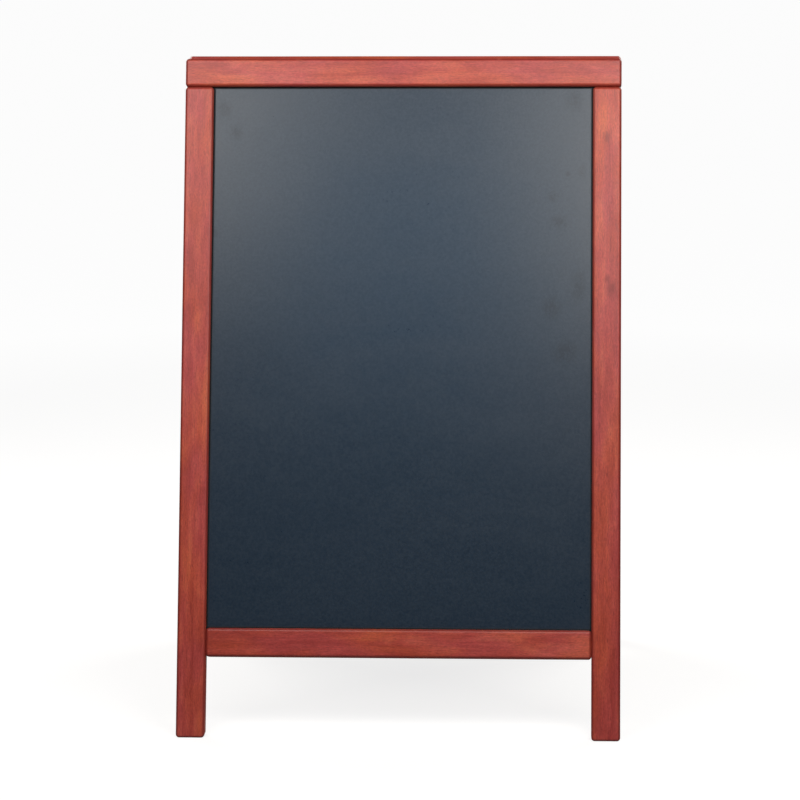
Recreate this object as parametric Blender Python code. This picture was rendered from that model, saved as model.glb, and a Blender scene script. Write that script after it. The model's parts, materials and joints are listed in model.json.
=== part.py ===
"""A double-sided sandwich board: two hardwood frames, each holding a chalkboard panel, hinged along
their top rails and kept from spreading by a folding metal stay on each side.

World axes: X along the board's width, Y through its depth with the front at -Y, Z up, and the origin on
the floor midway between the four feet.

Both frames are built in one frame space and placed by an empty on the hinge axis. There x is the width,
-y points out of the writing face, -z runs down the frame, and the hinge axis is y = z = 0.
"""

import math

import bmesh
import bpy
from mathutils import Matrix, Vector

# The board
BOARD_WIDTH = 0.550
FRAME_LENGTH = 0.855  # along the writing side, from the top rail's top to the floor
LEAN = math.radians(16)  # of each frame, from the vertical
MEMBER_WIDTH = 0.036  # of every rail and stile, seen from the front
MEMBER_THICKNESS = 0.022
EDGE_RADIUS = 0.004
EDGE_SEGMENTS = 3
LEG_LENGTH = 0.101  # below the bottom rail, along the writing side
GAP = 0.0003  # between pieces that touch

# The chalkboard panel, held in grooves all round
PANEL_THICKNESS = 0.003
PANEL_RECESS = 0.008  # behind the frame's writing side
PANEL_IN_GROOVE = 0.006
GROOVE_BOTTOM_GAP = 0.0005
GROOVE_DEPTH = PANEL_IN_GROOVE + GROOVE_BOTTOM_GAP

# Dowels that join the rails to the stiles
DOWEL_RADIUS = 0.004
DOWEL_LENGTH = 0.030
DOWEL_CHAMFER = 0.001
DOWEL_INSETS = (0.0125, 0.0265)  # of a joint's two dowels, from the frame opening's edge
DOWEL_SIDES = 12

# Butt hinges between the top rails
HINGE_X = 0.165
HINGE_LENGTH = 0.050
LEAF_WIDTH = 0.018  # from the hinge axis to the leaf's free edge
LEAF_THICKNESS = 0.0015
LEAF_CORNER = 0.003
LEAF_CORNER_SEGMENTS = 3
BARREL_RADIUS = 0.0033
PIN_RADIUS = 0.0016
PIN_HEAD_RADIUS = 0.0025
PIN_HEAD_HEIGHT = 0.0012
PIN_HEAD_RIM = 0.6  # of the head's end face, as a share of the head's radius
KNUCKLES = 5
WOOD_ABOVE_PIN = 0.004
HINGE_SCREW_X = 0.0145  # of a leaf's two screws, from its middle
HINGE_SCREW_DROP = 0.0110  # below the hinge axis
ROUND_SIDES = 18

# Countersunk screws of the hinges and round-headed screws of the stays
CSK_HEAD_RADIUS = 0.0035
SCREW_RADIUS = 0.00175
SCREW_LENGTH = 0.016
SCREW_TIP = 0.003
PAN_HEAD_RADIUS = 0.0040
PAN_HEAD_HEIGHT = 0.0022
PAN_HEAD_SHAPE = ((1, 0), (1, 0.45), (0.6, 0.85), (0.2, 1), (0, 1))  # shares of its height and radius
RECESS_WIDTH = 0.0009
RECESS_SPAN = 0.0036
RECESS_DEPTH = 0.0010
SCREW_SIDES = 12

# Folding stays, one inside each pair of stiles
STAY_DROP = 0.330  # of the stay's pivots below the hinge axis, along the frame
STAY_PIVOT_DEPTH = 0.010  # of the pivots, out from the plane midway between the closed frames
ARM_WIDTH = 0.008
ARM_THICKNESS = 0.002
WASHER_RADIUS = 0.0045
FRONT_WASHER = 0.0014
RIVET_RADIUS = 0.0020
RIVET_HEAD_RADIUS = 0.0037
RIVET_HEAD_HEIGHT = 0.0011
RIVET_HEAD_SHAPE = ((0, 1), (0.5, 0.88), (0.9, 0.5), (1, 0))  # shares of its height and radius
ARM_END_SEGMENTS = 6

# Sizes that follow from those above
INNER_FACE = BARREL_RADIUS + GAP  # of the wood, from the hinge axis
OUTER_FACE = INNER_FACE + MEMBER_THICKNESS
MID_THICKNESS = INNER_FACE + MEMBER_THICKNESS / 2
PANEL_FRONT = OUTER_FACE - PANEL_RECESS
PANEL_BACK = PANEL_FRONT - PANEL_THICKNESS
HALF_WIDTH = BOARD_WIDTH / 2
OPENING_HALF = HALF_WIDTH - MEMBER_WIDTH
RAIL_TOP = WOOD_ABOVE_PIN
OPENING_TOP = RAIL_TOP - MEMBER_WIDTH
BOTTOM_RAIL_LOW = RAIL_TOP - FRAME_LENGTH + LEG_LENGTH
OPENING_BOTTOM = BOTTOM_RAIL_LOW + MEMBER_WIDTH
PIN_HEIGHT = (FRAME_LENGTH - RAIL_TOP) * math.cos(LEAN) - OUTER_FACE * math.sin(LEAN)
ARM_LENGTH = STAY_DROP * math.sin(LEAN) + STAY_PIVOT_DEPTH * math.cos(LEAN)
STAY_HEIGHT = PIN_HEIGHT - STAY_DROP * math.cos(LEAN) + STAY_PIVOT_DEPTH * math.sin(LEAN)

# (colour, roughness, metallic) of each material
LOOKS = {
    "mahogany_stained_wood": ((0.42, 0.075, 0.045), 0.45, 0.0),
    "chalkboard": ((0.022, 0.033, 0.045), 0.55, 0.0),
    "beech": ((0.60, 0.42, 0.25), 0.70, 0.0),
    "brass": ((0.72, 0.50, 0.20), 0.30, 1.0),
    "zinc_plated_steel": ((0.60, 0.61, 0.62), 0.35, 1.0),
}


def clear_scene():
    for obj in list(bpy.data.objects):
        bpy.data.objects.remove(obj)


def material(name):
    found = bpy.data.materials.get(name)
    if found:
        return found
    colour, roughness, metallic = LOOKS[name]
    made = bpy.data.materials.new(name)
    made.use_nodes = True
    shader = made.node_tree.nodes["Principled BSDF"]
    shader.inputs["Base Color"].default_value = (*colour, 1)
    shader.inputs["Roughness"].default_value = roughness
    shader.inputs["Metallic"].default_value = metallic
    return made


def add_object(name, bm, looks=None, parent=None):
    """Turns bm into an object in its parent's space. Without looks it is a cutter."""
    bmesh.ops.recalc_face_normals(bm, faces=bm.faces)
    if bm.calc_volume(signed=True) < 0:
        bmesh.ops.reverse_faces(bm, faces=bm.faces)
    mesh = bpy.data.meshes.new(name)
    bm.to_mesh(mesh)
    bm.free()
    obj = bpy.data.objects.new(name, mesh)
    bpy.context.scene.collection.objects.link(obj)
    obj.parent = parent
    if looks:
        mesh.materials.append(material(looks))
        mesh.shade_smooth()
        mesh.set_sharp_from_angle(angle=math.radians(40))
    else:
        obj.hide_render = True
        obj.display_type = "WIRE"
    return obj


def cut(obj, cutter):
    modifier = obj.modifiers.new("cut " + cutter.name, "BOOLEAN")
    modifier.operation = "DIFFERENCE"
    modifier.object = cutter


def frame_empty(name, turn):
    """The hinge-axis space of one frame: turn 0 faces the front and a half turn faces the back."""
    empty = bpy.data.objects.new(name, None)
    bpy.context.scene.collection.objects.link(empty)
    empty.location = (0, 0, PIN_HEIGHT)
    empty.rotation_euler = (-LEAN, 0, turn)
    return empty


def box(low, high):
    bm = bmesh.new()
    bmesh.ops.create_cube(bm, size=1)
    low, high = Vector(low), Vector(high)
    bmesh.ops.scale(bm, vec=high - low, verts=bm.verts)
    bmesh.ops.translate(bm, vec=(low + high) / 2, verts=bm.verts)
    return bm


def lathe(profile, sides):
    """Turns a profile of (distance along, radius), running along +X from one end on the axis to the other."""
    bm = bmesh.new()
    along = [bm.verts.new((x, radius, 0)) for x, radius in profile]
    edges = [bm.edges.new(pair) for pair in zip(along, along[1:])]
    bmesh.ops.spin(
        bm,
        geom=along + edges,
        cent=(0, 0, 0),
        axis=(1, 0, 0),
        dvec=(0, 0, 0),
        angle=math.tau,
        steps=sides,
        use_merge=True,
    )
    bmesh.ops.remove_doubles(bm, verts=bm.verts, dist=1e-6)
    bmesh.ops.dissolve_degenerate(bm, edges=bm.edges, dist=1e-6)
    return bm


def placed(bm, start, direction=(1, 0, 0)):
    """Moves a lathed shape so that its +X runs along direction from start."""
    turn = Vector((1, 0, 0)).rotation_difference(Vector(direction)).to_matrix().to_4x4()
    bm.transform(Matrix.Translation(start) @ turn)
    return bm


def rod(start, direction, length, radius, sides):
    return placed(lathe([(0, 0), (0, radius), (length, radius), (length, 0)], sides), start, direction)


def mirrored(side, point):
    """A point given for the +X side, on the side asked for."""
    return (side * point[0], point[1], point[2])


def world_side(side, turn):
    """left or right as seen from the board's front, for a side of a frame's own space."""
    return "right" if side * math.cos(turn) > 0 else "left"


# Wooden members


def floor_z(y):
    """Where the floor cuts a frame's own space, at depth y."""
    return (y * math.sin(LEAN) - PIN_HEIGHT) / math.cos(LEAN)


def rounded(obj):
    bevel = obj.modifiers.new("eased edges", "BEVEL")
    bevel.width = EDGE_RADIUS
    bevel.segments = EDGE_SEGMENTS
    bevel.limit_method = "NONE"


def stile(name, frame, side):
    """An upright, cut parallel to the floor at its foot."""
    top = OPENING_TOP - GAP
    bm = box((OPENING_HALF, -OUTER_FACE, -FRAME_LENGTH), (HALF_WIDTH, -INNER_FACE, top))
    for vert in bm.verts:
        if vert.co.z < top - MEMBER_WIDTH:
            vert.co.z = floor_z(vert.co.y)
        vert.co.x *= side
    obj = add_object(name, bm, "mahogany_stained_wood", frame)
    rounded(obj)
    return obj


def rail(name, frame, half_length, top):
    bm = box((-half_length, -OUTER_FACE, top - MEMBER_WIDTH), (half_length, -INNER_FACE, top))
    obj = add_object(name, bm, "mahogany_stained_wood", frame)
    rounded(obj)
    return obj


def groove_cutter(name, frame):
    """The space of the panel's grooves: the frame's opening, grown into each member."""
    side = OPENING_HALF + GROOVE_DEPTH
    return add_object(
        name,
        box(
            (-side, -PANEL_FRONT - GAP, OPENING_BOTTOM - GROOVE_DEPTH),
            (side, -PANEL_BACK + GAP, OPENING_TOP + GROOVE_DEPTH),
        ),
        parent=frame,
    )


def panel(name, frame):
    side = OPENING_HALF + PANEL_IN_GROOVE
    return add_object(
        name,
        box(
            (-side, -PANEL_FRONT, OPENING_BOTTOM - PANEL_IN_GROOVE),
            (side, -PANEL_BACK, OPENING_TOP + PANEL_IN_GROOVE),
        ),
        "chalkboard",
        frame,
    )


def dowel_places(side):
    """(joint, number, centre, direction) of the four dowels on one side of a frame."""
    for number, inset in enumerate(DOWEL_INSETS, 1):
        centre = (side * (OPENING_HALF + inset), -MID_THICKNESS, OPENING_TOP)
        yield "top", number, centre, (0, 0, 1)
    for number, inset in enumerate(DOWEL_INSETS, 1):
        centre = (side * OPENING_HALF, -MID_THICKNESS, OPENING_BOTTOM - inset)
        yield "bottom", number, centre, (side, 0, 0)


def dowel(name, frame, centre, direction):
    half = DOWEL_LENGTH / 2
    rim = DOWEL_RADIUS - DOWEL_CHAMFER
    profile = [
        (-half, 0),
        (-half, rim),
        (-half + DOWEL_CHAMFER, DOWEL_RADIUS),
        (half - DOWEL_CHAMFER, DOWEL_RADIUS),
        (half, rim),
        (half, 0),
    ]
    return add_object(name, placed(lathe(profile, DOWEL_SIDES), centre, direction), "beech", frame)


def dowel_joint(name, frame, members, centre, direction):
    """A dowel and its bore, drilled into both members."""
    bore_length = DOWEL_LENGTH + 2 * GAP
    start = Vector(centre) - Vector(direction) * bore_length / 2
    bore = rod(start, direction, bore_length, DOWEL_RADIUS + GAP, DOWEL_SIDES)
    cutter = add_object(name + "_bore", bore, parent=frame)
    for member in members:
        cut(member, cutter)
    dowel(name, frame, centre, direction)


# Screws


def cross_recess(name, parent, face, direction):
    """A cutter for a cross-shaped driver recess that goes into a head from face, against direction."""
    into = RECESS_DEPTH
    sizes = ((RECESS_SPAN, RECESS_WIDTH), (RECESS_WIDTH, RECESS_SPAN))
    cutters = []
    for number, (wide, tall) in enumerate(sizes):
        bm = box((-into, -wide / 2, -tall / 2), (into, wide / 2, tall / 2))
        cutters.append(add_object(f"{name}_recess_{number}", placed(bm, face, direction), parent=parent))
    return cutters


def screw(name, parent, head_profile, face, direction, looks):
    """A screw driven along direction. head_profile gives (distance along from face, radius)."""
    end = head_profile[-1][0]
    tip = SCREW_LENGTH
    profile = head_profile + [(end, SCREW_RADIUS), (tip - SCREW_TIP, SCREW_RADIUS), (tip, 0)]
    obj = add_object(name, placed(lathe(profile, SCREW_SIDES), face, direction), looks, parent)
    for cutter in cross_recess(name, parent, Vector(face) + Vector(direction) * profile[0][0], direction):
        cut(obj, cutter)
    return obj


def screw_bore(name, parent, member, face, direction, deepest):
    """A pilot bore in member, as wide as the thread and a gap, that starts in front of the wood."""
    bore = rod(face, direction, deepest, SCREW_RADIUS + GAP, SCREW_SIDES)
    cut(member, add_object(name + "_bore", bore, parent=parent))


# Hinges


def leaf_profile():
    """Outline in (y, z) of a leaf whose barrel runs along its whole length.

    The barrel curls from the leaf's inner face over the top and down to its outer face.
    """
    inner = BARREL_RADIUS - LEAF_THICKNESS
    last = math.asin(inner / BARREL_RADIUS)
    sweep = 1.5 * math.pi + last
    arc = [math.pi - sweep * step / ROUND_SIDES for step in range(ROUND_SIDES + 1)]
    barrel = [(BARREL_RADIUS * math.cos(a), BARREL_RADIUS * math.sin(a)) for a in arc]
    return [(-BARREL_RADIUS, -LEAF_WIDTH), *barrel, (-inner, -LEAF_WIDTH)]


def leaf_plate():
    """The leaf and an uncut barrel, with the two free corners rounded."""
    bm = bmesh.new()
    outline = [bm.verts.new((-HINGE_LENGTH / 2, y, z)) for y, z in leaf_profile()]
    face = bm.faces.new(outline)
    grown = bmesh.ops.extrude_face_region(bm, geom=[face])["geom"]
    moved = [item for item in grown if isinstance(item, bmesh.types.BMVert)]
    bmesh.ops.translate(bm, vec=(HINGE_LENGTH, 0, 0), verts=moved)
    corners = [edge for edge in bm.edges if all(v.co.z < -LEAF_WIDTH + GAP for v in edge.verts)]
    corners = [edge for edge in corners if abs(edge.verts[0].co.x - edge.verts[1].co.x) < GAP]
    bmesh.ops.bevel(
        bm, geom=corners, offset=LEAF_CORNER, segments=LEAF_CORNER_SEGMENTS, profile=0.5, affect="EDGES"
    )
    return bm


def leaf(name, frame, centre_x, own):
    """One hinge leaf. own holds the numbers of the knuckles that it keeps."""
    bm = leaf_plate()
    bmesh.ops.translate(bm, vec=(centre_x, 0, 0), verts=bm.verts)
    obj = add_object(name, bm, "brass", frame)
    pitch = HINGE_LENGTH / KNUCKLES
    start = centre_x - HINGE_LENGTH / 2
    reach = BARREL_RADIUS + GAP
    for number in set(range(KNUCKLES)) - set(own):
        low = start + number * pitch - (GAP / 2 if number else reach)
        high = start + (number + 1) * pitch + (GAP / 2 if number < KNUCKLES - 1 else reach)
        notch = box((low, -2 * reach, -reach), (high, 2 * reach, 2 * reach))
        cut(obj, add_object(f"{name}_notch_{number}", notch, parent=frame))
    bore = rod((start - reach, 0, 0), (1, 0, 0), HINGE_LENGTH + 2 * reach, PIN_RADIUS + GAP, ROUND_SIDES)
    cut(obj, add_object(name + "_bore", bore, parent=frame))
    return obj


def hinge_pin(name, frame, centre_x):
    half = HINGE_LENGTH / 2 + GAP
    head = half + PIN_HEAD_HEIGHT
    rim = PIN_HEAD_RADIUS * PIN_HEAD_RIM
    profile = [
        (-head, 0),
        (-head, rim),
        (-half - PIN_HEAD_HEIGHT / 2, PIN_HEAD_RADIUS),
        (-half, PIN_HEAD_RADIUS),
        (-half, PIN_RADIUS),
        (half, PIN_RADIUS),
        (half, PIN_HEAD_RADIUS),
        (half + PIN_HEAD_HEIGHT / 2, PIN_HEAD_RADIUS),
        (head, rim),
        (head, 0),
    ]
    return add_object(name, placed(lathe(profile, SCREW_SIDES), (centre_x, 0, 0)), "brass", frame)


def hinge_screws(name, frame, leaf_object, rail_object, centre_x):
    """Two countersunk screws through a leaf into the top rail."""
    out = (0, -1, 0)
    surface = BARREL_RADIUS - LEAF_THICKNESS
    head = [(0, 0), (0, CSK_HEAD_RADIUS), (CSK_HEAD_RADIUS - SCREW_RADIUS, SCREW_RADIUS)]
    grow = GAP * math.sqrt(2)
    wide = CSK_HEAD_RADIUS + grow + surface
    sink = [(-surface, 0), (-surface, wide), (wide - surface, 0)]
    for number, offset in enumerate((-HINGE_SCREW_X, HINGE_SCREW_X), 1):
        face = Vector((centre_x + offset, -surface, -HINGE_SCREW_DROP))
        label = f"{name}_screw_{number}"
        hole = add_object(label + "_hole", placed(lathe(sink, SCREW_SIDES), face, out), parent=frame)
        cut(leaf_object, hole)
        screw_bore(label, frame, rail_object, face, out, SCREW_LENGTH + GAP)
        screw(label, frame, head, face, out, "brass")


# Frames


def build_frame(end, turn):
    """One frame with its panel, dowels and hinge leaves. end is front or rear."""
    frame = frame_empty(end + "_frame", turn)
    top_rail = rail(end + "_top_rail", frame, HALF_WIDTH, RAIL_TOP)
    bottom_rail = rail(end + "_bottom_rail", frame, OPENING_HALF - GAP, OPENING_BOTTOM)
    stiles = {}
    for side in (-1, 1):
        where = world_side(side, turn)
        stiles[side] = stile(f"{end}_{where}_stile", frame, side)
        for joint, number, centre, direction in dowel_places(side):
            members = (stiles[side], top_rail if joint == "top" else bottom_rail)
            dowel_joint(f"{end}_{where}_{joint}_dowel_{number}", frame, members, centre, direction)
    groove = groove_cutter(end + "_groove", frame)
    for member in (top_rail, bottom_rail, *stiles.values()):
        cut(member, groove)
    panel(end + "_chalkboard", frame)
    own = range(0, KNUCKLES, 2) if end == "front" else range(1, KNUCKLES, 2)
    for side in (-1, 1):
        where = world_side(side, turn)
        name = f"{where}_hinge_{end}_leaf"
        leaf_object = leaf(name, frame, side * HINGE_X, own)
        hinge_screws(name, frame, leaf_object, top_rail, side * HINGE_X)
        if end == "front":
            hinge_pin(f"{where}_hinge_pin", frame, side * HINGE_X)
    return frame, stiles


# Stays


def arm_blank(length):
    """A flat bar in the YZ plane, from a round end at the origin to one at +Y, centred on x = 0."""
    radius = ARM_WIDTH / 2
    outline = []
    for centre, first in ((length, -math.pi / 2), (0, math.pi / 2)):
        for step in range(ARM_END_SEGMENTS + 1):
            angle = first + math.pi * step / ARM_END_SEGMENTS
            outline.append((centre + radius * math.cos(angle), radius * math.sin(angle)))
    bm = bmesh.new()
    face = bm.faces.new([bm.verts.new((-ARM_THICKNESS / 2, y, z)) for y, z in outline])
    grown = bmesh.ops.extrude_face_region(bm, geom=[face])["geom"]
    moved = [item for item in grown if isinstance(item, bmesh.types.BMVert)]
    bmesh.ops.translate(bm, vec=(ARM_THICKNESS, 0, 0), verts=moved)
    return bm


def stay_arm(name, pivot, towards):
    """One arm, with its origin on its pivot. towards is +1 where it runs towards the back."""
    bm = arm_blank(ARM_LENGTH)
    for vert in bm.verts:
        vert.co.y *= towards
    obj = add_object(name, bm, "zinc_plated_steel")
    obj.location = pivot
    for label, y, radius in (("pivot", 0, SCREW_RADIUS), ("knee", towards * ARM_LENGTH, RIVET_RADIUS)):
        bore = rod((-ARM_THICKNESS, y, 0), (1, 0, 0), 2 * ARM_THICKNESS, radius + GAP, SCREW_SIDES)
        cut(obj, add_object(f"{name}_{label}_hole", bore, parent=obj))
    return obj


def washer(name, start_x, length, pivot, side):
    ring = rod((start_x, *pivot[1:]), (side, 0, 0), length, WASHER_RADIUS, SCREW_SIDES)
    obj = add_object(name, ring, "zinc_plated_steel")
    begin = (start_x - side * GAP, *pivot[1:])
    bore = rod(begin, (side, 0, 0), length + 2 * GAP, SCREW_RADIUS + GAP, SCREW_SIDES)
    cut(obj, add_object(name + "_hole", bore))
    return obj


def rivet_half(name, inner_x, knee, direction):
    """Half of the knee rivet: its shank through one arm, from inner_x, and its domed head."""
    neck = ARM_THICKNESS + GAP
    profile = [(0, 0), (0, RIVET_RADIUS), (neck, RIVET_RADIUS)]
    profile += [(neck + RIVET_HEAD_HEIGHT * up, RIVET_HEAD_RADIUS * out) for up, out in RIVET_HEAD_SHAPE]
    start = (inner_x, *knee)
    return add_object(name, placed(lathe(profile, SCREW_SIDES), start, direction), "zinc_plated_steel")


def pivot_screw(name, face_x, pivot, side, frame, stile_object):
    """A round-headed screw through an arm and its washer, into the stile's inner edge."""
    head = [(-PAN_HEAD_HEIGHT * up, PAN_HEAD_RADIUS * out) for up, out in PAN_HEAD_SHAPE]
    face = (face_x, *pivot[1:])
    screw(name, None, head, face, (side, 0, 0), "zinc_plated_steel")
    inward = frame.rotation_euler.to_matrix().inverted() @ Vector((side, 0, 0))
    place = (frame.matrix_basis.inverted() @ Vector(face)).to_tuple()
    screw_bore(name, frame, stile_object, place, inward, SCREW_LENGTH + GAP)


def build_stay(side, front, rear):
    """The folding stay on one side. front and rear are (frame, stiles)."""
    where = "right" if side > 0 else "left"
    edge = OPENING_HALF - GAP
    front_arm_x = edge - FRONT_WASHER - GAP - ARM_THICKNESS / 2
    rear_arm_x = front_arm_x - ARM_THICKNESS - GAP
    for end, (frame, stiles), towards, arm_x in (
        ("front", front, 1, front_arm_x),
        ("rear", rear, -1, rear_arm_x),
    ):
        pivot = mirrored(side, (arm_x, -towards * ARM_LENGTH, STAY_HEIGHT))
        name = f"{where}_stay_{end}"
        stay_arm(name + "_arm", pivot, towards)
        washer_length = edge - arm_x - ARM_THICKNESS / 2 - GAP
        washer(name + "_washer", side * (edge - washer_length), washer_length, pivot, side)
        stile_side = side if end == "front" else -side
        screw_face = side * (arm_x - ARM_THICKNESS / 2 - GAP)
        pivot_screw(name + "_pivot_screw", screw_face, pivot, side, frame, stiles[stile_side])
        towards_head = side if end == "front" else -side
        inner_x = side * arm_x - towards_head * ARM_THICKNESS / 2
        rivet_half(f"{where}_stay_knee_rivet_{end}_half", inner_x, (0, STAY_HEIGHT), (towards_head, 0, 0))


def main():
    clear_scene()
    front = build_frame("front", 0)
    rear = build_frame("rear", math.pi)
    for side in (-1, 1):
        build_stay(side, front, rear)


main()
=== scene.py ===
"""The looks of a sandwich board: stained and varnished hardwood frames, slate-blue chalkboard panels and
small metal hinges and stays, on a pale studio floor.

Finer wooden members and panels stand for the CAD ones. Each is modelled in the space of its own frame, in
which x is the width, -y points out of the writing face, -z runs down the frame and the hinge axis is
y = z = 0.
"""

import json
import math

import bmesh
import bpy
from mathutils import Euler, Matrix, Vector, noise

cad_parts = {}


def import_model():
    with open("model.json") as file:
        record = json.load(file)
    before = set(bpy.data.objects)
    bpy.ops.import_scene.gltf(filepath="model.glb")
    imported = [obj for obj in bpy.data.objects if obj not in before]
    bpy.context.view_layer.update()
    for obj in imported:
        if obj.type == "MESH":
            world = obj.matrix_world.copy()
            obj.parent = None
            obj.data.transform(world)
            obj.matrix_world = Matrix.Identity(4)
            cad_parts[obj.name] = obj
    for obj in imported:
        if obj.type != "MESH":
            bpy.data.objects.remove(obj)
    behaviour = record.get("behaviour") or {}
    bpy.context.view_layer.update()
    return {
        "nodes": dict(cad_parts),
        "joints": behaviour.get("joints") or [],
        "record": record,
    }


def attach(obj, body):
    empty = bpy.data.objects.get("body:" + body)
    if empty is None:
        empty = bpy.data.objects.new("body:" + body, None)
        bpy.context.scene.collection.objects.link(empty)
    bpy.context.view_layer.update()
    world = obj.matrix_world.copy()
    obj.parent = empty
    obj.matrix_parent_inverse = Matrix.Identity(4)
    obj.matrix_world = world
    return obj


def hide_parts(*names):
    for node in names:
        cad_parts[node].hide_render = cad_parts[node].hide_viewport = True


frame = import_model()

# The frames' own spaces, from the fold joint
FOLD = next(joint for joint in frame["joints"] if joint["name"] == "fold")
HINGE_AXIS = Vector(FOLD["pos_m"])
LEAN = math.radians(abs(FOLD["range_deg"][0])) / 2
TURNS = {"front": 0.0, "rear": math.pi}
FIRST_SEEDS = {"front": 1, "rear": 11}
SIDES = ("left", "right")
X, Y, Z = range(3)
BODY_OF = {node: body for body, nodes in frame["record"]["behaviour"]["bodies"].items() for node in nodes}

# Attributes of the wooden and chalkboard meshes, for their materials
OWN_PLACE = "own_place"  # a vertex's place in its frame's own space
EDGE = "edge"  # how far round an eased edge a vertex lies

# Wooden members
EDGE_RADIUS = 0.0042
EDGE_SEGMENTS = 7
STATION_STEP = 0.009  # between the rings of vertices along a member
LEAST_SANDED = 0.00005
MOST_SANDED = 0.00020
WAVE_LENGTH = 0.05  # of the sanding, across a member
WAVES_ALONG = 0.4  # waves along a member for each wave across it, in the same length
DENT_DEPTH = 0.0006
DENTS_PER_WAVE = 4
DENTED_FROM = 0.45  # the noise from which an edge is dented
GROOVE_GAP = 0.0003
BUTT = 0.0006  # how far a bottom rail's ends go on, so that sanding opens no gap at the stiles

# Chalkboard panels
PANEL_CELL = 0.009
PANEL_IN_GROOVE = 0.006
PANEL_BOW = 0.0010
PANEL_RIPPLE = 0.00012
RIPPLES_ACROSS = 3
RIPPLES_ALONG = 5
PANEL_SHARP = math.radians(40)
BOARD_ROUGHNESS = 0.22

# Small pieces
ROUND_SIDES = 40
DOME_STEPS = 6
ON_AXIS = 1e-7  # points of a turned piece nearer than this are one point
SLIVER = 1e-5  # faces thinner than this, where a recess was cut, are taken out
WELDED = 1e-6  # vertices of a CAD mesh nearer than this are one vertex
NEARLY_FLAT = math.radians(0.5)
SOFTENED = 0.00022  # the radius on sharp edges
SOFTENED_SEGMENTS = 2
SHARP = math.radians(35)
SHANK_RADIUS = 0.00175
SCREW_POINT = 0.003
PAN_HEAD_HEIGHT = 0.0022
RIVET_HEAD_HEIGHT = 0.0011
RIVET_RADIUS = 0.0020
WASHER_HOLE = 0.00205
PIN_RADIUS = 0.0016
PIN_HEAD_HEIGHT = 0.0015
CROSS_SPAN = 0.0040
CROSS_WIDTH = 0.0009
CROSS_DEPTH = 0.0011
THREAD_PITCH = 0.0014
THREAD_DEPTH = 0.00035

# Marks on the front frame, as (centre, size) in its own space
RIGHT_STILE_KNOTS = [
    ((0.264, -0.026, -0.288), (0.012, 0.03, 0.018)),
    ((0.257, -0.026, -0.276), (0.005, 0.03, 0.008)),
    ((0.257, -0.026, -0.098), (0.008, 0.03, 0.014)),
]
FRONT_SMUDGES = [
    ((-0.226, -0.02, -0.060), (0.014, 0.03, 0.018)),
    ((-0.210, -0.02, -0.090), (0.012, 0.03, 0.014)),
    ((-0.236, -0.02, -0.218), (0.006, 0.03, 0.010)),
    ((0.216, -0.02, -0.050), (0.016, 0.03, 0.020)),
    ((0.208, -0.02, -0.142), (0.006, 0.03, 0.006)),
    ((0.226, -0.02, -0.140), (0.007, 0.03, 0.014)),
    ((0.190, -0.02, -0.171), (0.011, 0.03, 0.010)),
    ((0.197, -0.02, -0.203), (0.018, 0.03, 0.012)),
    ((0.222, -0.02, -0.285), (0.014, 0.03, 0.030)),
    ((0.188, -0.02, -0.312), (0.018, 0.03, 0.022)),
    ((0.205, -0.02, -0.368), (0.024, 0.03, 0.024)),
]

# How much lighter each member is painted along each metre of it: along the rails a drift of tone, and up the
# right stile a painted light falloff, lighter towards its top
TONE_AND_LIGHT_DRIFT = {"front_top_rail": -0.12, "front_bottom_rail": 0.34, "front_right_stile": 0.04}

# Camera, at the height and angle from which the board is seen
CAMERA_PLACE = (0.1965, -4.1916, 1.1401)
CAMERA_DOWN = math.radians(10.27)
CAMERA_LEFT = math.radians(2.78)
CAMERA_ROLL = math.radians(0.26)
CAMERA_LENS = 148.7  # mm, on a 36 mm sensor


# Meshes


def frame_space(end):
    turned = Euler((-LEAN, 0, TURNS[end])).to_matrix().to_4x4()
    return Matrix.Translation(HINGE_AXIS) @ turned


def box_in(space, node):
    """The lowest and highest corner of a CAD node, measured in a space."""
    back = space.inverted()
    points = [back @ vert.co for vert in frame["nodes"][node].data.vertices]
    low = Vector([min(point[axis] for point in points) for axis in range(3)])
    high = Vector([max(point[axis] for point in points) for axis in range(3)])
    return low, high


def box(low, high):
    bm = bmesh.new()
    bmesh.ops.create_cube(bm, size=1)
    bmesh.ops.scale(bm, vec=high - low, verts=bm.verts)
    bmesh.ops.translate(bm, vec=(low + high) / 2, verts=bm.verts)
    return bm


def add_piece(name, bm, material=None):
    mesh = bpy.data.meshes.new(name)
    bm.normal_update()
    bm.to_mesh(mesh)
    bm.free()
    mesh.shade_smooth()
    if material:
        mesh.materials.append(material)
    piece = bpy.data.objects.new(name, mesh)
    bpy.context.scene.collection.objects.link(piece)
    return piece


def cut(piece, low, high):
    """Cuts a box out of a piece for good."""
    cutter = add_piece("cutter", box(low, high))
    modifier = piece.modifiers.new("cut", "BOOLEAN")
    modifier.operation = "DIFFERENCE"
    modifier.object = cutter
    bpy.context.view_layer.update()
    done = bpy.data.meshes.new_from_object(piece.evaluated_get(bpy.context.evaluated_depsgraph_get()))
    piece.modifiers.remove(modifier)
    piece.data = done
    bpy.data.objects.remove(cutter)


def cut_into_stations(bm, axis):
    """Adds rings of vertices along a member, so that its surface can wander."""
    low = min(vert.co[axis] for vert in bm.verts)
    high = max(vert.co[axis] for vert in bm.verts)
    normal = Vector((0, 0, 0))
    normal[axis] = 1
    steps = int((high - low) / STATION_STEP)
    for step in range(1, steps):
        place = normal * (low + (high - low) * step / steps)
        geometry = bm.verts[:] + bm.edges[:] + bm.faces[:]
        bmesh.ops.bisect_plane(bm, geom=geometry, plane_co=place, plane_no=normal, dist=WELDED)


def roundness(normal):
    """0 where a member is flat and 1 halfway round an eased edge."""
    flattest = max(abs(part) for part in normal)
    return min(1.0, (1 - flattest) / (1 - math.sqrt(0.5)))


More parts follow.
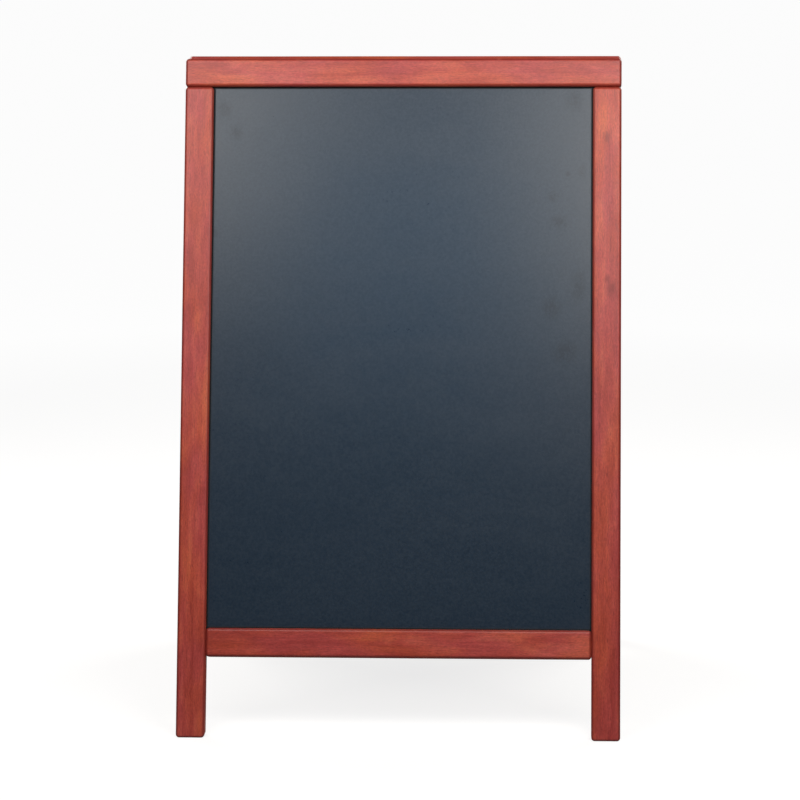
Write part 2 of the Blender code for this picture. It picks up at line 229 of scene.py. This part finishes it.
def hand_finish(bm, axis, seed):
    """Takes a little off a member everywhere, and dents its eased edges. It never adds."""
    bm.normal_update()
    stretch = Vector((1, 1, 1)) / WAVE_LENGTH
    stretch[axis] *= WAVES_ALONG
    offset = Vector((seed * 3.1, seed * 1.7, seed * 0.9))  # so that no two members are alike
    for vert in bm.verts:
        place = vert.co * stretch + offset
        wander = 0.5 + 0.5 * noise.noise(place)
        sanded = LEAST_SANDED + (MOST_SANDED - LEAST_SANDED) * wander
        knock = max(0.0, noise.noise(place * DENTS_PER_WAVE) - DENTED_FROM) * roundness(vert.normal)
        vert.co -= vert.normal * (sanded + DENT_DEPTH * knock)


def mark_edges(piece):
    """Stores how far round an eased edge each vertex lies, for the material."""
    edge = piece.data.attributes.new(EDGE, "FLOAT", "POINT")
    for vert, value in zip(piece.data.vertices, edge.data):
        value.value = roundness(vert.normal)


def into_place(piece, end):
    """Moves a mesh from its frame's space to the world, and keeps the old points for the material."""
    own = piece.data.attributes.new(OWN_PLACE, "FLOAT_VECTOR", "POINT")
    for vert, value in zip(piece.data.vertices, own.data):
        value.vector = vert.co
    piece.data.transform(frame_space(end))


def floor_z(y):
    """Where the floor cuts a frame's own space, at depth y."""
    return (y * math.sin(LEAN) - HINGE_AXIS.z) / math.cos(LEAN)


# Materials


class Nodes:
    """Adds nodes to a material and links them."""

    def __init__(self, name):
        self.material = bpy.data.materials.new(name)
        self.material.use_nodes = True
        self.tree = self.material.node_tree
        self.shader = self.tree.nodes["Principled BSDF"]

    def put(self, value, socket):
        if isinstance(value, bpy.types.NodeSocket):
            self.tree.links.new(value, socket)
        else:
            socket.default_value = value

    def set(self, **values):
        """Sets the shader's sockets, named as base_color for Base Color."""
        for name, value in values.items():
            self.put(value, self.shader.inputs[name.replace("_", " ").title().replace("Ior", "IOR")])

    def math(self, operation, *values, clamp=False):
        node = self.tree.nodes.new("ShaderNodeMath")
        node.operation = operation
        node.use_clamp = clamp
        for value, socket in zip(values, node.inputs):
            self.put(value, socket)
        return node.outputs[0]

    def place(self, scale, shift=(0, 0, 0), attribute=None):
        """The point in the object's own space, or the one stored in an attribute, scaled and then shifted."""
        if attribute:
            point = self.tree.nodes.new("ShaderNodeAttribute")
            point.attribute_name = attribute
            source = point.outputs["Vector"]
        else:
            source = self.tree.nodes.new("ShaderNodeTexCoord").outputs["Object"]
        mapping = self.tree.nodes.new("ShaderNodeMapping")
        self.tree.links.new(source, mapping.inputs["Vector"])
        mapping.inputs["Location"].default_value = shift
        mapping.inputs["Scale"].default_value = scale
        return mapping.outputs[0]

    def noise(self, place, scale=1.0, detail=2.0, roughness=0.5, distortion=0.0):
        node = self.tree.nodes.new("ShaderNodeTexNoise")
        self.put(place, node.inputs["Vector"])
        node.inputs["Scale"].default_value = scale
        node.inputs["Detail"].default_value = detail
        node.inputs["Roughness"].default_value = roughness
        node.inputs["Distortion"].default_value = distortion
        return node.outputs["Fac"]

    def ramp(self, value, *stops):
        """A colour ramp. Each stop is (place, colour or grey)."""
        node = self.tree.nodes.new("ShaderNodeValToRGB")
        self.put(value, node.inputs["Fac"])
        ramp = node.color_ramp
        while len(ramp.elements) < len(stops):
            ramp.elements.new(0.5)
        for element, (place, colour) in zip(ramp.elements, stops):
            element.position = place
            element.color = (*colour, 1) if isinstance(colour, tuple) else (colour, colour, colour, 1)
        return node.outputs["Color"]

    def mix(self, factor, first, second, blend="MIX"):
        node = self.tree.nodes.new("ShaderNodeMix")
        node.data_type = "RGBA"
        node.blend_type = blend
        self.put(factor, node.inputs["Factor"])
        for value, socket in zip((first, second), [s for s in node.inputs if s.type == "RGBA"]):
            self.put((*value, 1) if isinstance(value, tuple) else value, socket)
        return next(socket for socket in node.outputs if socket.type == "RGBA")

    def along(self, axis, attribute):
        """The place along an axis, in metres."""
        parts = self.tree.nodes.new("ShaderNodeSeparateXYZ")
        self.put(self.place((1, 1, 1), attribute=attribute), parts.inputs[0])
        return parts.outputs[axis]

    def nearness(self, centre, size, attribute):
        """1 at a point, falling to 0 at a distance of size from it on each axis."""
        scale = tuple(1 / extent for extent in size)
        shift = tuple(-place / extent for place, extent in zip(centre, size))
        node = self.tree.nodes.new("ShaderNodeVectorMath")
        node.operation = "LENGTH"
        self.put(self.place(scale, shift, attribute), node.inputs[0])
        return self.math("SUBTRACT", 1.0, node.outputs["Value"], clamp=True)

    def inset(self, low, high, attribute, width):
        """0 on the sides of an upright rectangle in x and z, and 1 at a distance of width inside them."""
        middle, half = (low + high) / 2, (high - low) / 2
        parts = self.tree.nodes.new("ShaderNodeSeparateXYZ")
        self.put(self.place((1, 1, 1), tuple(-middle), attribute), parts.inputs[0])
        across = self.math("SUBTRACT", half.x, self.math("ABSOLUTE", parts.outputs["X"]))
        along = self.math("SUBTRACT", half.z, self.math("ABSOLUTE", parts.outputs["Z"]))
        return self.math("DIVIDE", self.math("MINIMUM", across, along), width, clamp=True)

    def attribute(self, name):
        node = self.tree.nodes.new("ShaderNodeAttribute")
        node.attribute_name = name
        return node.outputs["Fac"]

    def bump(self, height, distance, strength=1.0, normal=None):
        node = self.tree.nodes.new("ShaderNodeBump")
        node.inputs["Distance"].default_value = distance
        node.inputs["Strength"].default_value = strength
        self.put(height, node.inputs["Height"])
        if normal:
            self.put(normal, node.inputs["Normal"])
        return node.outputs["Normal"]


WOOD_DARK = (0.400, 0.049, 0.035)
WOOD_MID = (0.510, 0.075, 0.053)
WOOD_LIGHT = (0.620, 0.119, 0.071)
# Dark of the pores and knots, also used for the shade painted on the eased edges
WOOD_PORE_AND_EDGE_SHADE = (0.200, 0.020, 0.016)
WOOD_WORN = (0.600, 0.200, 0.120)
ORANGE_TINT = (1.05, 1.06, 0.74)
PINK_TINT = (0.97, 0.90, 1.10)
PAINTED_EDGE_SHADE = 0.66  # how far the painted shade on the eased edges goes to its darkest


def stain(nodes, grain, tone):
    """The stain's colour for a tone, which wanders between pink and orange."""
    colour = nodes.ramp(tone, (0.36, WOOD_DARK), (0.50, WOOD_MID), (0.64, WOOD_LIGHT))
    hue = nodes.ramp(grain(30, 9), (0.38, PINK_TINT), (0.62, ORANGE_TINT))
    return nodes.mix(1.0, colour, hue, "MULTIPLY")


def knotted(nodes, colour, knots, streaks):
    """Dark whorls, broken up by the streaks."""
    for centre, size in knots:
        whorl = nodes.math("MULTIPLY", nodes.nearness(centre, size, OWN_PLACE), streaks)
        colour = nodes.mix(nodes.ramp(whorl, (0.05, 0.0), (0.5, 0.70)), colour, WOOD_PORE_AND_EDGE_SHADE)
    return colour


def fine_grained(nodes, colour, grain, fibres, pore):
    """Fibres, flecks and dark pores."""
    fibre_tone = nodes.ramp(fibres, (0.30, 0.86), (0.70, 1.10))
    colour = nodes.mix(1.0, colour, fibre_tone, "MULTIPLY")
    flecks = grain(620, 300, detail=2, roughness=0.6)
    fleck_tone = nodes.ramp(flecks, (0.35, 0.88), (0.65, 1.11))
    colour = nodes.mix(1.0, colour, fleck_tone, "MULTIPLY")
    return nodes.mix(pore, colour, WOOD_PORE_AND_EDGE_SHADE)


def shaded_and_worn_edges(nodes, colour, grain):
    """Painted shade that darkens the eased edges, and scuffs that go through the stain there."""
    edge = nodes.attribute(EDGE)
    # Painted shade: the eased edges grow darker the further round they turn
    edge_shade = nodes.ramp(edge, (0.0, 0.0), (0.55, PAINTED_EDGE_SHADE))
    colour = nodes.mix(edge_shade, colour, WOOD_PORE_AND_EDGE_SHADE)
    scuffs = nodes.ramp(grain(160, 60, detail=3, roughness=0.6), (0.66, 0.0), (0.74, 0.8))
    return nodes.mix(nodes.math("MULTIPLY", edge, scuffs), colour, WOOD_WORN)


def stained_wood(name, axis, seed, knots, drift):
    """Red-stained, satin-varnished hardwood with its grain along an axis of the member's own space."""
    nodes = Nodes(name)
    shift = (seed * 1.37, seed * 0.71, seed * 2.13)  # so that no two members are alike

    def grain(across, along, **looks):
        """Noise with so many features to a metre across and along the grain."""
        scale = [across] * 3
        scale[axis] = along
        return nodes.noise(nodes.place(tuple(scale), shift, OWN_PLACE), **looks)

    streaks = grain(110, 5.5, detail=4, roughness=0.55, distortion=0.5)
    figure = grain(48, 14, detail=3, distortion=1.4)
    fibres = grain(800, 40, detail=3, roughness=0.7)
    pore = nodes.ramp(grain(1500, 110, detail=1), (0.30, 0.55), (0.40, 0.0))
    tone = nodes.math("MULTIPLY_ADD", streaks, 0.36, 0.0)
    tone = nodes.math("MULTIPLY_ADD", figure, 0.42, tone)
    tone = nodes.math("MULTIPLY_ADD", grain(22, 16), 0.22, tone)
    # Lighter or darker along the member: a painted light falloff up a stile, a drift of tone along a rail
    if drift:
        tone = nodes.math("MULTIPLY_ADD", nodes.along(axis, OWN_PLACE), drift, tone)
    colour = stain(nodes, grain, tone)
    colour = knotted(nodes, colour, knots, streaks)
    colour = fine_grained(nodes, colour, grain, fibres, pore)
    # Painted shade on the eased edges, with real scuffs through the stain
    colour = shaded_and_worn_edges(nodes, colour, grain)
    nodes.set(base_color=colour)
    nodes.set(roughness=nodes.math("MULTIPLY_ADD", fibres, 0.20, 0.30), specular_ior_level=0.5)
    relief = nodes.math("MULTIPLY_ADD", pore, -0.7, fibres)
    fine = nodes.bump(relief, 0.00010, 0.5)
    nodes.set(normal=nodes.bump(figure, 0.0006, 0.35, fine))
    return nodes.material


SLATE = (0.0145, 0.0290, 0.0520)
SLATE_WORN = (0.0255, 0.0420, 0.0660)
CHALK = (0.30, 0.32, 0.35)
# Painted shade: a near-black line round the panel where it meets the frame, its colour and width
GREASE = (0.0050, 0.0130, 0.0260)
BORDER_SHADE = (0.0030, 0.0025, 0.0025)
BORDER_SHADE_WIDTH = 0.0028


def smudged(nodes, colour, gloss, smudges, noise_at):
    """Greasy marks, broken up like fingerprints."""
    fingers = noise_at((210, 210, 150), detail=4, distortion=1.6)
    blots = nodes.ramp(fingers, (0.38, 0.25), (0.60, 1.0))
    for centre, size in smudges:
        broken = nodes.math("MULTIPLY", nodes.nearness(centre, size, OWN_PLACE), blots)
        smudge = nodes.ramp(broken, (0.10, 0.0), (0.70, 0.60))
        colour = nodes.mix(smudge, colour, GREASE)
        gloss = nodes.math("MULTIPLY_ADD", smudge, 0.08, gloss)
    return colour, gloss


def chalkboard(name, seed, low, high, smudges):
    """Slate-blue writing surface between two corners: a fine even tooth, faint wiped chalk, a painted shade
    line where the board meets its frame and greasy smudges."""
    nodes = Nodes(name)
    shift = (seed * 1.9, seed * 0.6, seed * 1.1)  # so that the two panels differ

    def noise_at(scale, **looks):
        """Noise with so many features to a metre on each axis."""
        return nodes.noise(nodes.place(scale, shift, OWN_PLACE), **looks)

    tooth = noise_at((950, 950, 950), detail=2, roughness=0.6)
    mottle = noise_at((330, 330, 330), detail=4, roughness=0.65)
    wiping = noise_at((7, 7, 18), detail=5, roughness=0.6, distortion=0.8)
    haze = noise_at((5, 5, 4), detail=3)
    colour = nodes.mix(nodes.ramp(mottle, (0.35, 0.0), (0.65, 1.0)), SLATE, SLATE_WORN)
    dust = nodes.math("MULTIPLY", nodes.ramp(wiping, (0.42, 0.0), (0.75, 0.020)), haze)
    colour = nodes.mix(dust, colour, CHALK)
    gloss = nodes.math("MULTIPLY_ADD", wiping, 0.08, BOARD_ROUGHNESS)
    gloss = nodes.math("MULTIPLY_ADD", mottle, 0.08, gloss)
    colour, gloss = smudged(nodes, colour, gloss, smudges, noise_at)
    # Painted shade: the panel darkens to near black along its border, where the frame shades it, and is
    # rougher there
    border_shade = nodes.ramp(nodes.inset(low, high, OWN_PLACE, BORDER_SHADE_WIDTH), (0.35, 0.92), (0.95, 0.0))
    colour = nodes.mix(border_shade, colour, BORDER_SHADE)
    gloss = nodes.math("MULTIPLY_ADD", border_shade, 0.6, gloss)
    nodes.set(base_color=colour)
    nodes.set(roughness=gloss, specular_ior_level=0.5)
    nodes.set(normal=nodes.bump(tooth, 0.00012, 0.6))
    return nodes.material


BRASS = (0.80, 0.58, 0.26)
BRASS_TARNISH = (0.34, 0.22, 0.10)
ZINC = (0.74, 0.75, 0.76)
ZINC_TARNISH = (0.50, 0.51, 0.52)
BEECH_DARK = (0.50, 0.33, 0.18)
BEECH_LIGHT = (0.66, 0.48, 0.30)


def metal(name, colour, tarnish, rough, metallic):
    """Metal with clouds of tarnish and fine scratches."""
    nodes = Nodes(name)
    cloud = nodes.noise(nodes.place((220, 220, 220)), detail=4, roughness=0.6)
    scratches = nodes.noise(nodes.place((400, 4000, 4000)), detail=2)
    colour = nodes.mix(nodes.ramp(cloud, (0.40, 0.0), (0.75, 0.7)), colour, tarnish)
    nodes.set(base_color=colour, metallic=metallic)
    nodes.set(roughness=nodes.math("MULTIPLY_ADD", cloud, 0.25, rough))
    nodes.set(normal=nodes.bump(scratches, 0.00003, 0.4))
    return nodes.material


def plain_wood(name):
    """Bare beech, for the dowels."""
    nodes = Nodes(name)
    grain = nodes.noise(nodes.place((900, 900, 60)), detail=3)
    nodes.set(base_color=nodes.ramp(grain, (0.3, BEECH_DARK), (0.7, BEECH_LIGHT)), roughness=0.7)
    return nodes.material


# Pieces


def stands_for(piece, node, body):
    """Puts a piece in a CAD node's place."""
    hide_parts(node)
    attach(piece, body)


def member(end, node, axis, seed, groove):
    """A finer rail or stile, with its grain along an axis of the frame's own space.

    groove is the lowest and highest corner of the box that the panel needs.
    """
    space = frame_space(end)
    low, high = box_in(space, node)
    if node.endswith("bottom_rail"):
        low.x -= BUTT
        high.x += BUTT
    bm = box(low, high)
    if axis == Z:
        for vert in bm.verts:
            if vert.co.z < (low.z + high.z) / 2:
                vert.co.z = floor_z(vert.co.y)
    bmesh.ops.bevel(
        bm, geom=bm.edges[:], offset=EDGE_RADIUS, segments=EDGE_SEGMENTS, profile=0.5, affect="EDGES"
    )
    cut_into_stations(bm, axis)
    hand_finish(bm, axis, seed)
    knots = RIGHT_STILE_KNOTS if node == "front_right_stile" else ()
    material = stained_wood(f"stained_wood_{seed}", axis, seed, knots, TONE_AND_LIGHT_DRIFT.get(node, 0.0))
    piece = add_piece(node + "_wood", bm, material)
    cut(piece, *groove)
    mark_edges(piece)
    into_place(piece, end)
    piece.modifiers.new("flat sides", "WEIGHTED_NORMAL").keep_sharp = True
    stands_for(piece, node, end + "_frame")


def panel(end, seed):
    """A thin board that bows a little between the grooves that hold it. Returns its CAD node's box."""
    space = frame_space(end)
    node = end + "_chalkboard"
    low, high = box_in(space, node)
    middle, half = (low + high) / 2, (high - low) / 2
    bm = bmesh.new()
    columns, rows = int(2 * half.x / PANEL_CELL), int(2 * half.z / PANEL_CELL)
    bmesh.ops.create_grid(bm, x_segments=columns, y_segments=rows, size=1)
    for vert in bm.verts:
        across, along = vert.co.x, vert.co.y
        held = (1 - across**4) * (1 - along**4)
        ripple = noise.noise(Vector((across * RIPPLES_ACROSS, along * RIPPLES_ALONG, seed))) * PANEL_RIPPLE
        vert.co = (
            middle.x + half.x * across,
            low.y - (PANEL_BOW * held + ripple * held),
            middle.z + half.z * along,
        )
    grown = bmesh.ops.extrude_face_region(bm, geom=bm.faces[:])["geom"]
    moved = [item for item in grown if isinstance(item, bmesh.types.BMVert)]
    bmesh.ops.translate(bm, vec=(0, 2 * half.y, 0), verts=moved)
    bmesh.ops.recalc_face_normals(bm, faces=bm.faces[:])
    smudges = FRONT_SMUDGES if end == "front" else ()
    held_in = Vector((PANEL_IN_GROOVE, 0, PANEL_IN_GROOVE))
    looks = chalkboard(f"chalkboard_{seed}", seed, low + held_in, high - held_in, smudges)
    piece = add_piece(node + "_board", bm, looks)
    piece.data.set_sharp_from_angle(angle=PANEL_SHARP)
    into_place(piece, end)
    stands_for(piece, node, end + "_frame")
    return low, high


def wooden_frame(end, first_seed):
    low, high = panel(end, first_seed)
    side = Vector((GROOVE_GAP, GROOVE_GAP, GROOVE_GAP))
    groove = (low - side, high + side)
    member(end, end + "_top_rail", X, first_seed + 1, groove)
    member(end, end + "_bottom_rail", X, first_seed + 2, groove)
    for number, where in enumerate(SIDES):
        member(end, f"{end}_{where}_stile", Z, first_seed + 3 + number, groove)


def lathe(profile):
    """Turns a profile of (distance along, radius) round +X. It begins and ends on the axis, or is a loop."""
    bm = bmesh.new()
    verts = [bm.verts.new((along, radius, 0)) for along, radius in profile]
    edges = [bm.edges.new(pair) for pair in zip(verts, verts[1:])]
    if profile[0][1] > ON_AXIS:
        edges.append(bm.edges.new((verts[-1], verts[0])))
    about_x = {"cent": (0, 0, 0), "axis": (1, 0, 0), "angle": math.tau}
    bmesh.ops.spin(bm, geom=verts + edges, steps=ROUND_SIDES, use_merge=True, **about_x)
    bmesh.ops.remove_doubles(bm, verts=bm.verts, dist=ON_AXIS)
    bmesh.ops.recalc_face_normals(bm, faces=bm.faces)
    return bm


def dome(base, height, radius):
    """A rounded head from its rim to its crown. height may be negative."""
    angles = [math.pi / 2 * step / DOME_STEPS for step in range(DOME_STEPS + 1)]
    return [(base + height * math.sin(angle), radius * math.cos(angle)) for angle in angles]


def shank(start, end):
    """A threaded shank with a point, as a turned profile."""
    profile = [(start, SHANK_RADIUS)]
    turns = int((end - SCREW_POINT - start) / THREAD_PITCH)
    for turn in range(turns):
        root = start + (turn + 0.5) * THREAD_PITCH
        profile += [(root, SHANK_RADIUS - THREAD_DEPTH), (root + THREAD_PITCH / 2, SHANK_RADIUS)]
    return profile + [(end, 0)]


def pan_screw(length, radius):
    crown = list(reversed(dome(PAN_HEAD_HEIGHT, -PAN_HEAD_HEIGHT, radius)))
    return [(0, 0)] + crown[1:] + shank(PAN_HEAD_HEIGHT, length)


def sunk_screw(length, radius):
    return [(0, 0), (0, radius)] + shank(radius - SHANK_RADIUS, length)


def rivet(length, radius):
    neck = length - RIVET_HEAD_HEIGHT
    return [(0, 0), (0, RIVET_RADIUS), (neck, RIVET_RADIUS)] + dome(neck, RIVET_HEAD_HEIGHT, radius)


def washer(length, radius):
    rim = radius - SOFTENED
    return [
        (0, WASHER_HOLE),
        (0, rim),
        (SOFTENED, radius),
        (length - SOFTENED, radius),
        (length, rim),
        (length, WASHER_HOLE),
    ]


def hinge_pin(length, radius):
    head = dome(length - PIN_HEAD_HEIGHT, PIN_HEAD_HEIGHT, radius)
    tail = list(reversed(dome(PIN_HEAD_HEIGHT, -PIN_HEAD_HEIGHT, radius)))
    return tail + [(PIN_HEAD_HEIGHT, PIN_RADIUS), (length - PIN_HEAD_HEIGHT, PIN_RADIUS)] + head


def cut_cross_recess(piece):
    """Cuts a driver recess into a head whose top is at the origin."""
    for wide, tall in ((CROSS_SPAN, CROSS_WIDTH), (CROSS_WIDTH, CROSS_SPAN)):
        corner = Vector((CROSS_DEPTH, wide / 2, tall / 2))
        cut(piece, -corner, corner)
    bm = bmesh.new()
    bm.from_mesh(piece.data)
    bmesh.ops.dissolve_degenerate(bm, edges=bm.edges, dist=SLIVER)
    bm.to_mesh(piece.data)
    bm.free()


def turned_fitting(node, space, axis, from_high, outline, material, crossed):
    """A finer turned piece in a CAD node's place.

    It runs along the x or y axis of a space, downwards from the node's high end or upwards from its low end.
    outline gives its profile from its length and radius. A crossed head has a driver recess.
    """
    low, high = box_in(space, node)
    length = high[axis] - low[axis]
    radius = (high.z - low.z) / 2
    piece = add_piece(node + "_turned", lathe(outline(length, radius)), material)
    if crossed:
        cut_cross_recess(piece)
    start = (low + high) / 2
    start[axis] = high[axis] if from_high else low[axis]
    direction = Vector((0, 0, 0))
    direction[axis] = -1 if from_high else 1
    turn = Vector((1, 0, 0)).rotation_difference(direction).to_matrix().to_4x4()
    piece.data.transform(space @ Matrix.Translation(start) @ turn)
    piece.data.set_sharp_from_angle(angle=SHARP)
    return piece


def softened_copy(node, material):
    """A CAD node's own shape with its sharp edges rounded."""
    mesh = frame["nodes"][node].data.copy()
    mesh.materials.clear()
    mesh.materials.append(material)
    bm = bmesh.new()
    bm.from_mesh(mesh)
    bmesh.ops.remove_doubles(bm, verts=bm.verts, dist=WELDED)
    bmesh.ops.dissolve_limit(bm, angle_limit=NEARLY_FLAT, verts=bm.verts, edges=bm.edges)
    bm.to_mesh(mesh)
    bm.free()
    mesh.shade_smooth()
    piece = bpy.data.objects.new(node + "_softened", mesh)
    bpy.context.scene.collection.objects.link(piece)
    bevel = piece.modifiers.new("softened", "BEVEL")
    bevel.width = SOFTENED
    bevel.segments = SOFTENED_SEGMENTS
    bevel.limit_method = "ANGLE"
    bevel.angle_limit = SHARP
    piece.modifiers.new("flat sides", "WEIGHTED_NORMAL").keep_sharp = True
    return piece


# The kinds of turned fittings, as (part of the node's name, outline, whether its head is crossed)
TURNED = (
    ("leaf_screw", sunk_screw, True),
    ("pivot_screw", pan_screw, True),
    ("washer", washer, False),
    ("rivet", rivet, False),
    ("hinge_pin", hinge_pin, False),
)


def lie_of(node, kind):
    """The space and axis along which a turned fitting lies, and whether it starts from its high end."""
    left, front = node.startswith("left"), "front" in node
    if kind == "leaf_screw":
        return frame_space("front" if front else "rear"), Y, True
    from_high = {"pivot_screw": left, "washer": left, "rivet": left == front, "hinge_pin": False}[kind]
    return Matrix.Identity(4), X, from_high


def fitting(node, material):
    for kind, outline, crossed in TURNED:
        if kind in node:
            space, axis, from_high = lie_of(node, kind)
            return turned_fitting(node, space, axis, from_high, outline, material, crossed)
    return softened_copy(node, material)


def fittings():
    """Finer hinges, screws, rivets, washers, stay arms and dowels."""
    looks = {
        "brass": metal("old_brass", BRASS, BRASS_TARNISH, 0.28, 1.0),
        "zinc_plated_steel": metal("zinc_plate", ZINC, ZINC_TARNISH, 0.42, 0.55),
        "beech": plain_wood("beech"),
    }
    for row in frame["record"]["subparts"]:
        node, slot = row["node"], row["material_slot"]
        if slot in looks:
            stands_for(fitting(node, looks[slot]), node, BODY_OF[node])


# Stage


LIT_POINT = (0, -0.1, 0.5)
WARM = (1.0, 0.96, 0.90)
DAYLIGHT = (0.25, 0.60, 1.0)

# (name, place, size, power in watts, colour)
LAMPS = (
    ("left_softbox", (-0.60, -0.92, 1.35), (0.9, 0.6), 8.6, WARM),
    ("right_softbox", (0.57, -0.98, 1.26), (0.9, 0.6), 10.4, WARM),
    ("window", (-0.05, -1.40, 1.22), (0.5, 0.4), 1.0, DAYLIGHT),
    ("left_rear_softbox", (-1.1, 1.0, 1.3), (0.9, 0.8), 12, WARM),
    ("right_rear_softbox", (1.1, 1.0, 1.3), (0.9, 0.8), 12, WARM),
)

FLOOR_HALF = 30  # metres, from the middle to an edge
FLOOR_GREY = 0.32
FLOOR_GLOW = ((0.5, 0.80), (3.0, 0.96))  # at two distances from the middle, where the lamps light it less
WORLD_LIGHT = 0.03
WORLD_SEEN = 0.96  # beyond the floor's edge, where only a low camera looks


def area_light(name, place, size, power, colour):
    """A rectangular lamp that shines at the middle of the board."""
    light = bpy.data.lights.new(name, "AREA")
    light.shape = "RECTANGLE"
    light.size, light.size_y = size
    light.energy = power
    light.color = colour
    lamp = bpy.data.objects.new(name, light)
    bpy.context.scene.collection.objects.link(lamp)
    lamp.location = place
    lamp.rotation_euler = (Vector(LIT_POINT) - Vector(place)).to_track_quat("-Z", "Y").to_euler()


def floor():
    """A pale floor that glows a little for the camera alone, so that it is near white all over."""
    bm = bmesh.new()
    bmesh.ops.create_grid(bm, x_segments=1, y_segments=1, size=FLOOR_HALF)
    nodes = Nodes("pale_floor")
    nodes.set(base_color=(FLOOR_GREY, FLOOR_GREY, FLOOR_GREY, 1), roughness=0.9)
    distance = nodes.tree.nodes.new("ShaderNodeVectorMath")
    distance.operation = "LENGTH"
    furthest = FLOOR_GLOW[1][0]
    nodes.put(nodes.place((1 / furthest, 1 / furthest, 1 / furthest)), distance.inputs[0])
    glow = nodes.ramp(distance.outputs["Value"], *((far / furthest, white) for far, white in FLOOR_GLOW))
    seen = nodes.tree.nodes.new("ShaderNodeLightPath").outputs["Is Camera Ray"]
    nodes.set(emission_color=(1, 1, 1, 1), emission_strength=nodes.math("MULTIPLY", seen, glow))
    add_piece("floor", bm, nodes.material)


def world():
    """A dim surround that looks as pale as the floor where the camera sees it."""
    sky = bpy.data.worlds.new("studio")
    sky.use_nodes = True
    tree = sky.node_tree
    background = tree.nodes["Background"]
    background.inputs["Color"].default_value = (1, 1, 1, 1)
    strength = tree.nodes.new("ShaderNodeMapRange")
    strength.inputs["To Min"].default_value = WORLD_LIGHT
    strength.inputs["To Max"].default_value = WORLD_SEEN
    tree.links.new(tree.nodes.new("ShaderNodeLightPath").outputs["Is Camera Ray"], strength.inputs["Value"])
    tree.links.new(strength.outputs["Result"], background.inputs["Strength"])
    bpy.context.scene.world = sky


def camera():
    data = bpy.data.cameras.new("camera")
    data.lens = CAMERA_LENS
    data.sensor_width = 36
    made = bpy.data.objects.new("camera", data)
    bpy.context.scene.collection.objects.link(made)
    level = Matrix.Rotation(CAMERA_LEFT, 4, "Z") @ Matrix.Rotation(math.pi / 2 - CAMERA_DOWN, 4, "X")
    made.matrix_world = Matrix.Translation(CAMERA_PLACE) @ level @ Matrix.Rotation(-CAMERA_ROLL, 4, "Z")
    bpy.context.scene.camera = made


def studio():
    bpy.context.scene.view_settings.view_transform = "Standard"
    floor()
    world()
    for lamp in LAMPS:
        area_light(*lamp)
    camera()


for end, first_seed in FIRST_SEEDS.items():
    wooden_frame(end, first_seed)
fittings()
studio()
